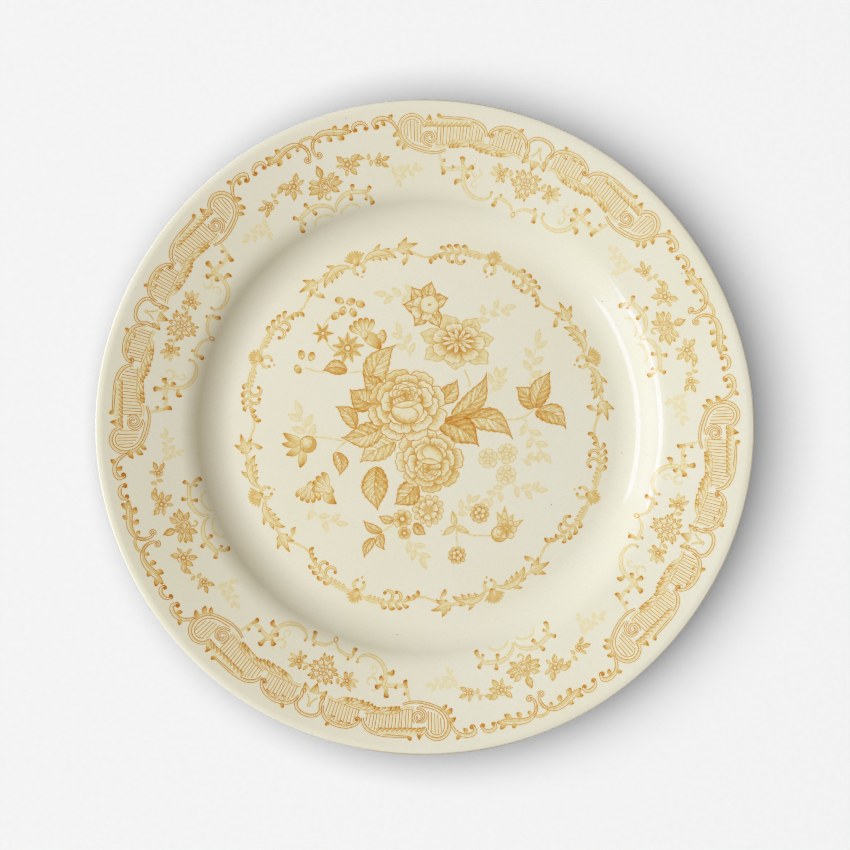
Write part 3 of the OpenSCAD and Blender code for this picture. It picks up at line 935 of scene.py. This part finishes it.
def bouquet(strength):
    """Two roses on a bed of leaves, with smaller flowers, buds and sprigs round them."""
    sheet = Sheet()
    pen = Pen(sheet, lambda z: z, strength)
    several(sprig, pen, SPRIGS, 0.13)
    several(branch, pen, BRANCHES)
    for k, look in enumerate(LEAVES):
        leaf(pen, *look, lift=3 * (k % 5))
    branch(pen, -12.6-39.6j, -16.6-42.4j, -20.8-45.2j)

    peony(pen, 13.8+34.8j, 15, 0.76)
    bud_flower(pen, 1+49.6j, 9.2, 0)
    front = pen.moved(lift=16)
    rose(front, 1.9-13.9j, 13.6, 172, 0.96, 0.05)
    rose(front.moved(lift=21), -7.2+9.2j, 16.6, 6, 0.92)

    for centre, radius in ((26-12.8j, 4), (33.8-10.8j, 4.2), (33.4-19.6j, 4)):
        petals(pen, centre, 1.2, radius, 6, 20, ink=0.06, root=0.3, frills=2, line=0.45, hatch=3)
        petals(pen, centre, 0.4, radius * 0.52, 5, 50, ink=0.1, root=0.35, frills=1, line=0.45, hatch=1,
               lift=2)
    daisy = 1.7 - 34j
    petals(pen, daisy, 2.8, 6.4, 12, 0, ink=0.2, root=0.3, frills=1, depth=0.12, hatch=3)
    dot(pen, daisy, 4.2, 0.68, 2, 18)
    petals(pen, daisy, 1.4, 4.2, 6, 20, root=0.3, frills=2, hatch=3, lift=3)
    dot(pen, daisy, 1.4, 0.5, 5)
    blossom(pen, -9-37.6j, 4, 6, 40, 0.2)
    blossom(pen, -8.2-43.4j, 2.6, 5, 20, 0.3)
    fork = 12.6 - 40.6j
    for aim in (100, 215, 335):
        leaflet(pen, fork, fork + polar(6.4, aim), 2.4, 0.34)
    for centre, radius, turn in ((22.6-35.2j, 4, 30), (13.4-52.4j, 3.6, 0)):
        petals(pen, centre, 1.8, radius, 9, turn, ink=0.36, root=0.3, frills=1, line=0.8, hatch=1)
        dot(pen, centre, radius * 0.62, 0.85, 2, 14)
        petals(pen, centre, 0.5, radius * 0.6, 5, turn, root=0.4, frills=1, hatch=1, lift=3)
    thistle = pen.moved(33-42j)
    berry(thistle, -2.4-1.8j, 3.2, 0.55)
    for tip in (-0.2+9.6j, 3.4+6.4j, 7.4+4j, -3.4+7.4j):
        leaflet(thistle, 0.2-0.2j, tip, 2.6, 0.34)
    petals(thistle, 0.4+0.2j, 0.8, 4.2, 7, 0, ink=0.2, root=0.5, frills=1, hatch=2, lift=1)

    star_flower(pen, -31.4+32.4j, 7, 9, 10)
    star_flower(pen, -41.6+38.4j, 4.4, 6, 0, 0.7)
    several(bell, pen, (
        (-24+36.2j, -26.4+44.6j, 8), (-19.8+37.2j, -15.4+37j, 5),
        (-37.4-26.4j, -45.8-22.4j, 8.4), (-46.6-22.4j, -48-31j, 7)))
    lobe(pen, -24.8+38.4j, -17.8+31.8j, 5.4, 0.1, 0.9, 0.35, 3)
    lobe(pen, -40.6-24.6j, -36-31.4j, 4.4, -0.2, 0.9, 0.3, 3)
    several(bud, pen, (
        (-34.6+51.6j, -20), (-30.4+51.4j, 200), (-26.4+50.6j, 160), (-33.2+47.8j, 70),
        (-29.2+47.2j, 120), (-36.2+45.6j, 40), (-50.4+29.4j, -80), (-46.4+28.8j, -110),
        (-51.8+24j, 120)), 1.7)
    berry(pen, -47.6-7j, 3.4, 0.6)
    several(lobe, pen, (
        (-49.4-6.4j, -57.8-2.4j, 3.2), (-50-8j, -56.6-11.4j, 3.2),
        (-49.6-9.4j, -51-16.6j, 3.4), (-50.4-6.8j, -58.4-6.8j, 2.6)), 0.08, 0.85, 0.3, 1)
    return sheet


# ---------------- materials
GLOSS = 0.07
PAPER_GREYS = (60.7, 61.3)


def srgb(*levels):
    """A colour given as it looks on a screen, 0 to 255."""
    c = np.array(levels) / 255
    return (*np.where(c <= 0.04045, c / 12.92, ((c + 0.055) / 1.055) ** 2.4), 1)


class Recipe:
    """A material under construction: its nodes and the links between them."""

    def __init__(self, name, roughness):
        self.material = bpy.data.materials.new(name)
        self.material.use_nodes = True
        self.nodes, self.links = self.material.node_tree.nodes, self.material.node_tree.links
        self.surface = self.nodes["Principled BSDF"].inputs
        self.surface["Roughness"].default_value = roughness
        self.place = self.nodes.new("ShaderNodeTexCoord").outputs["Object"]

    def node(self, kind, inputs, **settings):
        """A new node, its inputs set to values or linked to other nodes' outputs."""
        made = self.nodes.new("ShaderNode" + kind)
        for name, setting in settings.items():
            setattr(made, name, setting)
        for socket, value in inputs.items():
            if isinstance(value, bpy.types.NodeSocket):
                self.links.new(value, made.inputs[socket])
            else:
                made.inputs[socket].default_value = value
        return made.outputs

    def noise(self, per_metre, detail=2):
        return self.node("TexNoise", {"Scale": per_metre, "Detail": detail, "Vector": self.place})["Fac"]

    def span(self, value, low, high, start=0.35, end=0.65):
        """The value's range from start to end, stretched to run from low to high."""
        ends = {"From Min": start, "From Max": end, "To Min": low, "To Max": high}
        return self.node("MapRange", {"Value": value, **ends})["Result"]

    def specks(self, per_metre, radius, rare):
        """Round specks, radius in millimetres, in the share 1 - rare of a grid of cells seen from above."""
        cells = self.node("TexVoronoi", {"Scale": per_metre, "Vector": self.place}, voronoi_dimensions="2D")
        reach = radius * MM * per_metre
        spot = self.span(cells["Distance"], 1, 0, reach * 0.7, reach * 1.2)
        chosen = self.span(cells["Color"], 0, 1, rare, rare + 0.02)
        return self.node("Math", {0: spot, 1: chosen}, operation="MULTIPLY")["Value"]

    def between(self, share, low, high):
        """A colour between low and high, which may be colours or outputs."""
        return self.node("Mix", {"Factor": share, 6: low, 7: high}, data_type="RGBA")[2]

    def relief(self, height, depth):
        """A bump, depth in millimetres."""
        return self.node("Bump", {"Distance": depth * MM, "Height": height})["Normal"]

    def use(self, socket, output):
        self.links.new(output, self.surface[socket])

    def shine(self, layer=""):
        """The glaze's uneven shine, on the surface itself or on its coat."""
        self.use(layer + "Roughness", self.span(self.noise(60), GLOSS - 0.02, GLOSS + 0.05))
        self.use(layer + "Normal", self.relief(self.noise(70, 1), 0.06))


def glaze_material():
    """Lead glaze over cream clay: clouded a little, pooled warmer in patches, and not quite even."""
    recipe = Recipe("glaze", GLOSS)
    cloud = recipe.span(recipe.noise(26, 3), 0, 1)
    cream = recipe.between(cloud, srgb(231, 228, 204), srgb(233, 230, 210))
    grain = recipe.span(recipe.noise(900, 2), 0, 0.5, 0.5, 0.75)
    cream = recipe.between(grain, cream, srgb(226, 222, 196))
    recipe.use("Base Color", recipe.between(recipe.specks(95, 0.2, 0.86), cream, srgb(104, 88, 66)))
    recipe.shine()
    return recipe.material


def clay_material():
    """Bare fired clay: matt, buff and finely gritty."""
    recipe = Recipe("clay", 0.85)
    cloud = recipe.span(recipe.noise(45, 4), 0, 1)
    tone = recipe.between(cloud, srgb(216, 202, 172), srgb(228, 218, 194))
    grit = recipe.span(recipe.noise(2200, 1), 0, 0.6, 0.62, 0.72)
    recipe.use("Base Color", recipe.between(grit, tone, srgb(176, 154, 120)))
    recipe.use("Roughness", recipe.span(recipe.noise(800), 0.78, 0.92))
    recipe.use("Normal", recipe.relief(recipe.noise(1500, 2), 0.08))
    return recipe.material


# The print's colours on a screen, from the faintest tint to the heaviest ink
INK_LOOK = np.array([
    (233, 227, 198), (227, 212, 157), (216, 181, 104), (205, 146, 57), (190, 114, 24), (154, 92, 10)])


def ink_material(step):
    """One density of the print's ochre ink, under the glaze's own uneven shine."""
    recipe = Recipe(f"ink_{step + 1}", GLOSS)
    t = (step + 0.5) / INK_STEPS * (len(INK_LOOK) - 1)
    low = min(int(t), len(INK_LOOK) - 2)
    look = INK_LOOK[low] + (INK_LOOK[low + 1] - INK_LOOK[low]) * (t - low)
    recipe.surface["Base Color"].default_value = srgb(*look)
    recipe.surface["Coat Weight"].default_value = 0.1
    recipe.shine("Coat ")
    return recipe.material


def paper_material():
    """Plain grey backing paper with a faint tooth."""
    recipe = Recipe("paper", 0.9)
    fibre = recipe.noise(420, 3)
    low, high = (srgb(grey, grey, grey) for grey in PAPER_GREYS)
    recipe.use("Base Color", recipe.between(recipe.span(fibre, 0, 1), low, high))
    recipe.surface["Specular IOR Level"].default_value = 0
    recipe.use("Roughness", recipe.span(fibre, 0.88, 0.94))
    recipe.use("Normal", recipe.relief(fibre, 0.02))
    return recipe.material


glaze, clay = glaze_material(), clay_material()
inks = [ink_material(step) for step in range(INK_STEPS)]
for name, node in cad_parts.items():
    node.data.materials.clear()
    node.data.materials.append(glaze if name == "foot_recess_glaze" else clay)

outer = np.concatenate([face_path(GLAZE_T), back_path(GLAZE_T)])
foot_side = FOOT_R + FOOT_DRAFT * BARE_H / (FLOOR_Z - FLOOR_T)
outer = np.append(outer, foot_side + GLAZE_T + 1j * BARE_H)
glazed = lathe("glazed_surface", outer)
glazed.data.materials.append(glaze)
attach(glazed, "root")
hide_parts("face_glaze")


def transfer(name, node, sheet):
    """Lays a drawn sheet on the glazed face as a skin of ink."""
    plan, level = np.concatenate(sheet.plan), np.concatenate(sheet.level)
    face = face_path(GLAZE_T)
    height = np.interp(abs(plan), face.real, face.imag)
    plan = plan * (1 + lip_waver(abs(plan)) * lobes(np.degrees(np.angle(plan))))
    points = np.stack([plan.real, plan.imag, handmade(plan, height) + level], -1)
    quads, ink = np.concatenate(sheet.quads), np.concatenate(sheet.ink)
    middle = plan[quads].mean(1)
    x, y = middle.real, middle.imag
    mottle = 0.05 * np.sin(x * 1.9 + 2 * np.sin(y * 1.3)) * np.sin(y * 2.3 + 1)
    grain = 0.03 * dice.standard_normal(len(quads))
    step = np.clip(((ink + mottle + grain) * INK_STEPS / FULL_INK).astype(int), 0, INK_STEPS - 1)
    piece = add_piece(name, points, quads.tolist())
    piece.data.polygons.foreach_set("material_index", step)
    for material in inks:
        piece.data.materials.append(material)
    piece.data.update()
    piece.visible_shadow = False
    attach(piece, "root")
    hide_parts(node)


# How strongly each transfer took. The border's strips run anticlockwise from the upper right.
BOUQUET_STRENGTH = 0.84
WREATH_STRENGTH = 0.78
STRIP_STRENGTHS = (0.76, 0.95, 0.99, 0.83)
transfer("bouquet_ink", "bouquet_print", bouquet(BOUQUET_STRENGTH))
transfer("wreath_ink", "wreath_print", wreath(WREATH_STRENGTH))
for strip, strength in enumerate(STRIP_STRENGTHS):
    sheet = border_strip(BORDER_ANGLE + QUARTER * strip, strength)
    transfer(f"border_ink_{strip + 1}", f"border_print_{strip + 1}", sheet)

# ---------------- stage
bpy.ops.mesh.primitive_plane_add(size=6, location=(0, 0, 0))
floor = bpy.context.object
floor.name = "floor"
floor.data.materials.append(paper_material())

scene.view_settings.view_transform = "Standard"
scene.cycles.filter_width = 1.1
world = bpy.data.worlds.new("studio")
scene.world = world
world.use_nodes = True
backdrop = world.node_tree.nodes["Background"].inputs
backdrop["Color"].default_value = (1, 1, 1, 1)
backdrop["Strength"].default_value = 0.18

target = add_object("aim", None)


def softbox(name, azimuth, elevation, away, width, height, watts, colour, lit):
    """A soft panel, aimed at the plate, that lights only the objects in lit. Lengths are in metres."""
    light = bpy.data.lights.new(name, "AREA")
    light.shape = "RECTANGLE"
    light.size = width
    light.size_y = height
    light.energy = watts
    light.color = colour
    panel = add_object(name, light)
    e, a = math.radians(elevation), math.radians(azimuth)
    reach = away * math.cos(e)
    panel.location = (reach * math.cos(a), reach * math.sin(a), away * math.sin(e))
    aim = panel.constraints.new("TRACK_TO")
    aim.target = target
    aim.track_axis = "TRACK_NEGATIVE_Z"
    aim.up_axis = "UP_Y"
    panel.visible_camera = False
    receivers = bpy.data.collections.new(name + "_lit")
    for lit_object in lit:
        receivers.objects.link(lit_object)
    panel.light_linking.receiver_collection = receivers
    return panel


plate = [o for o in scene.objects if o.type == "MESH" and o != floor]
# Name, azimuth, elevation, distance, width, height, watts, colour, and the rays that don't see the panel
for name, *shape, colour, unseen_by in (
        ("window", 180, 42, 2.2, 1.44, 1.1, 49.8, (0.97, 1.01, 1.12), "visible_glossy"),
        ("glint", 188, 40.5, 1.3, 1.05, 0.3, 4.4, (0.45, 0.5, 1), "visible_diffuse"),
        ("haze", 188, 17, 1.3, 1.3, 0.75, 2.8, (0.25, 0.35, 1), "visible_diffuse"),
        ("fill", 180, 88, 1.6, 2, 2, 5.6, (1, 0.8, 0.54), "visible_glossy"),
        ("side", 0, 14, 1.3, 1.2, 0.5, 2.2, (1, 0.78, 0.42), "visible_glossy")):
    setattr(softbox(name, *shape, colour, plate), unseen_by, False)
softbox("overhead", 180, 71.7, 12.8, 16.4, 16.4, 49900, (1, 1, 1), [floor])

# The camera looks straight down. Its picture is FIELD_WIDTH metres wide at the height of the lip.
CAMERA_AT = (0.00024, 0.00089, 1.9)
FIELD_WIDTH = 0.345
LIP_Z = 0.0242
SENSOR = 36
camera = bpy.data.cameras.new("camera")
camera.sensor_width = SENSOR
camera.lens = SENSOR * (CAMERA_AT[2] - LIP_Z) / FIELD_WIDTH
scene.camera = add_object("camera", camera)
scene.camera.location = CAMERA_AT
